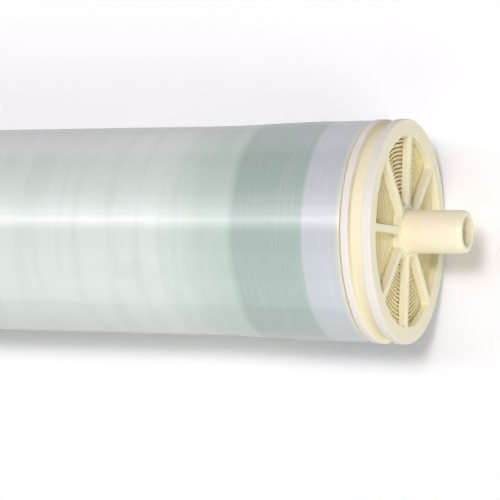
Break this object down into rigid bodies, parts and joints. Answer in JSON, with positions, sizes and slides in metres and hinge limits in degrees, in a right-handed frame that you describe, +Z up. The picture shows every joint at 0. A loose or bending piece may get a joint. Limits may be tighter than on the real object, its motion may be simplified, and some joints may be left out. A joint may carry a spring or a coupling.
{
  "type": "reverse osmosis membrane element",
  "caption": "Spiral-wound reverse osmosis element: membrane leaves rolled on a product water tube, with spoked end caps and a wound fibre wrap.",
  "frame": {"origin": "centre of the element, on the tube's axis, halfway between the two tube tips", "axes": "+X along the tube towards the front (reject) end, +Z up, the element lying level"},
  "size_m": [1.016, 0.099, 0.099],
  "materials": {
    "tube_plastic": "satin cream plastic",
    "cap_plastic": "satin cream moulded plastic",
    "fibre_wrap": "pale green-white glass fibre in clear resin, wound, half gloss",
    "tape": "white roll tape and glue",
    "carrier": "woven polyester carrier",
    "membrane": "pale tan membrane sheet"
  },
  "bodies": {
    "root": {"permeate_tube": "tube_plastic", "front_end_cap": "cap_plastic", "rear_end_cap": "cap_plastic", "outer_wrap": "fibre_wrap", "roll_tape": "tape", "core_wrap": "carrier", "membrane_leaf_1": "membrane", "membrane_leaf_2": "membrane", "membrane_leaf_3": "membrane", "membrane_leaf_4": "membrane", "membrane_leaf_5": "membrane", "membrane_leaf_6": "membrane"}
  },
  "joints": []
}
